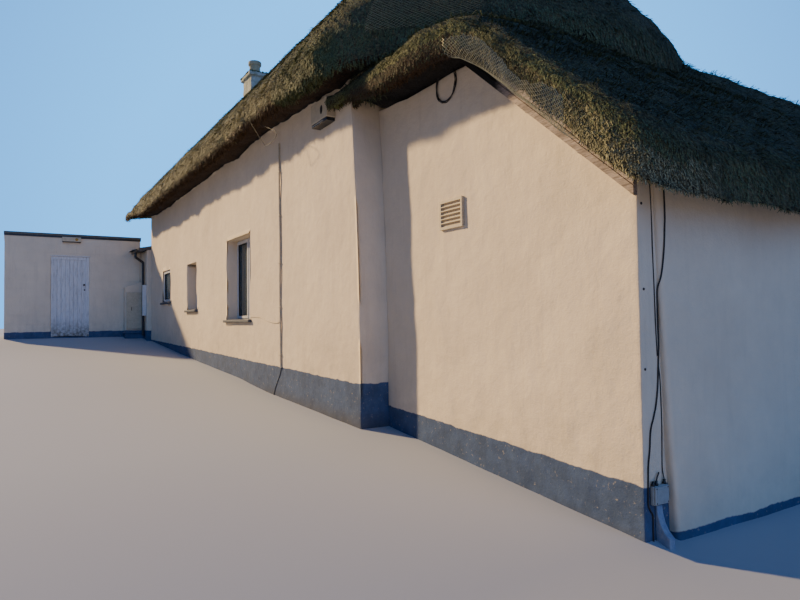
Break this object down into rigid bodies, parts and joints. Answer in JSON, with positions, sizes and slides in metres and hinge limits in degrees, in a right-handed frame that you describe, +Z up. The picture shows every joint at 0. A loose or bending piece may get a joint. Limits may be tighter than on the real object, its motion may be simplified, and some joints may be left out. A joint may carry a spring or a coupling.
{
  "type": "thatched cottage",
  "caption": "Hollow thatched cottage with rendered walls, a lower catslide outshut at one end, a short link and a flat-roofed outhouse whose plank door opens inward.",
  "frame": {"origin": "on the level base, 200 mm in from both outer faces of the near south-east corner of the outshut's front wall", "axes": "+X east along the long front wall, towards the outshut; +Y north, into the building; +Z up"},
  "size_m": [18.655, 10.685, 8.7803],
  "materials": {
    "painted_render": "cream masonry paint over lime render, blue-grey plinth",
    "thatch": "mossy straw thatch under wire netting",
    "white_frame": "white frame, satin",
    "window_glass": "clear float glass",
    "slate": "riven slate",
    "white_planks": "worn white paint on boards",
    "weathered_board": "weathered painted board",
    "chimney_brick": "mossy rendered brick",
    "clay_pot": "unglazed clay",
    "floor_screed": "floated screed",
    "roof_felt": "mineral felt",
    "dark_iron": "rusted black iron",
    "black_plastic": "satin black",
    "cream_plastic": "cream, weathered",
    "grey_plastic": "light grey, satin",
    "blue_paint": "plinth paint, scuffed"
  },
  "bodies": {
    "building": {"front_wall": "painted_render", "rear_wall": "painted_render", "west_gable_wall": "painted_render", "east_end_wall": "painted_render", "main_floor": "floor_screed", "large_window_frame": "white_frame", "large_window_glass": "window_glass", "large_window_sill": "slate", "middle_window_frame": "white_frame", "middle_window_glass": "window_glass", "middle_window_sill": "slate", "far_window_frame": "white_frame", "far_window_glass": "window_glass", "far_window_sill": "slate", "rear_window_frame": "white_frame", "rear_window_glass": "window_glass", "rear_window_sill": "slate", "rear_door": "white_planks", "chimney_stack": "chimney_brick", "chimney_pot": "clay_pot", "outshut_front_wall": "painted_render", "outshut_east_wall": "painted_render", "outshut_rear_wall": "painted_render", "outshut_west_wall": "painted_render", "outshut_floor": "floor_screed", "rake_boards": "weathered_board", "main_thatch": "thatch", "outshut_thatch": "thatch", "outhouse_front_left": "painted_render", "outhouse_front_right": "painted_render", "outhouse_front_head": "painted_render", "outhouse_door_step": "painted_render", "outhouse_south_wall": "painted_render", "outhouse_north_wall": "painted_render", "outhouse_rear_wall": "painted_render", "outhouse_floor": "floor_screed", "outhouse_roof": "roof_felt", "outhouse_door_frame": "white_planks", "over_door_box": "cream_plastic", "link_front_wall": "painted_render", "link_rear_wall": "painted_render", "link_west_wall": "painted_render", "link_roof": "slate", "link_gutter": "black_plastic", "link_downpipe": "black_plastic", "link_pipe_box": "white_frame", "store_cupboard": "painted_render", "louvre_vent": "cream_plastic", "eaves_box": "cream_plastic", "junction_box": "grey_plastic", "cable_duct": "blue_paint", "wall_conduit": "cream_plastic"},
    "door_leaf": {"outhouse_door": "white_planks", "outhouse_door_lower_hinge": "dark_iron", "outhouse_door_upper_hinge": "dark_iron", "outhouse_door_knob": "dark_iron"}
  },
  "joints": [
    {"name": "outhouse_door_swing", "type": "hinge", "parent": "building", "child": "door_leaf", "pos_m": [-15.575, -2.778, 2.2], "axis": [0, 0, 1], "range_deg": [0, 92]}
  ]
}
